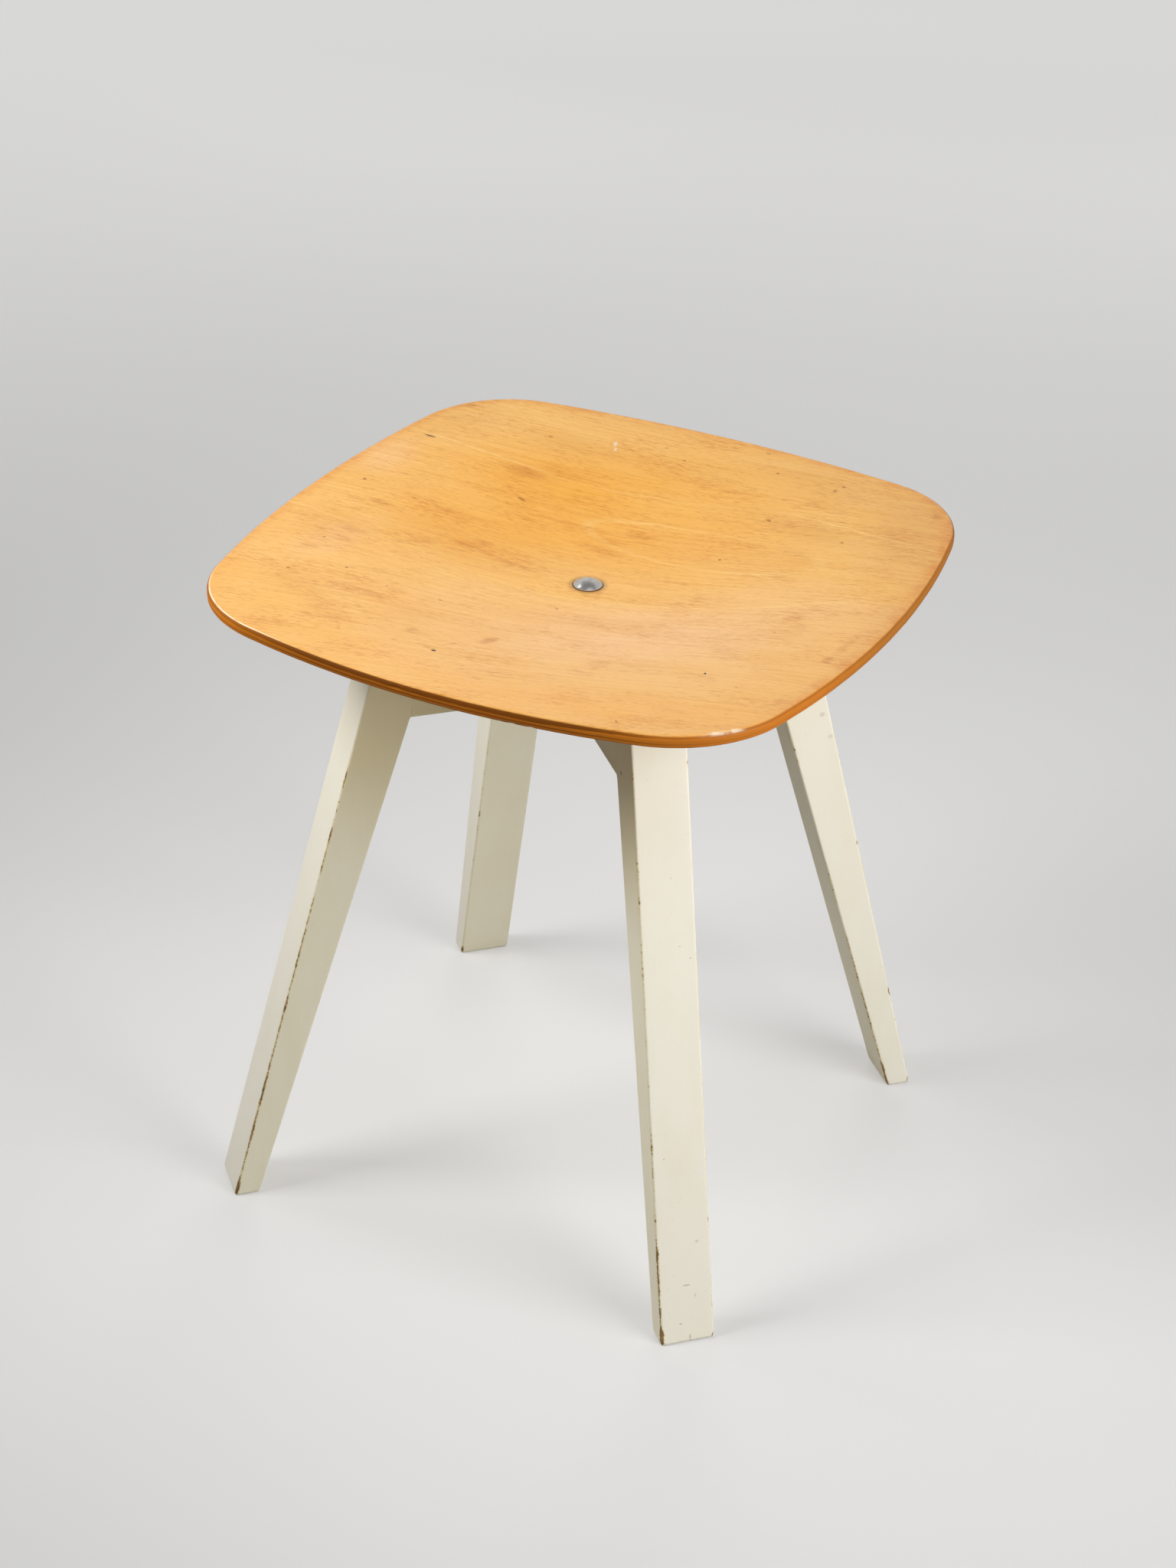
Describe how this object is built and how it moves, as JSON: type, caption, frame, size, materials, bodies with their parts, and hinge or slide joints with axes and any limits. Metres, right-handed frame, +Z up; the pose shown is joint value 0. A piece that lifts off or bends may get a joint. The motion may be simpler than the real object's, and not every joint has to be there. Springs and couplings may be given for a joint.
{
  "type": "stool",
  "caption": "Stool with a dished, rounded-square moulded plywood seat on tapered, splayed painted legs, joined under the seat by halved cross rails and a bolt.",
  "frame": {"origin": "on the floor, under the middle of the seat", "axes": "+Z up, X and Y square to the sides of the seat, front at -Y, the legs on the diagonals"},
  "size_m": [0.4, 0.4, 0.43],
  "materials": {
    "seat_plywood": "honey-coloured varnish, satin",
    "frame_paint": "off-white paint, satin, worn on the arrises",
    "dowel_wood": "bare beech",
    "bolt_steel": "satin",
    "zinc_steel": "dull zinc"
  },
  "bodies": {
    "root": {"seat": "seat_plywood", "rail_over": "frame_paint", "rail_under": "frame_paint", "leg_front_right": "frame_paint", "leg_back_right": "frame_paint", "leg_back_left": "frame_paint", "leg_front_left": "frame_paint", "dowel_front_right_low": "dowel_wood", "dowel_front_right_high": "dowel_wood", "dowel_back_right_low": "dowel_wood", "dowel_back_right_high": "dowel_wood", "dowel_back_left_low": "dowel_wood", "dowel_back_left_high": "dowel_wood", "dowel_front_left_low": "dowel_wood", "dowel_front_left_high": "dowel_wood", "bolt": "bolt_steel", "washer": "zinc_steel", "nut": "zinc_steel"}
  },
  "joints": []
}
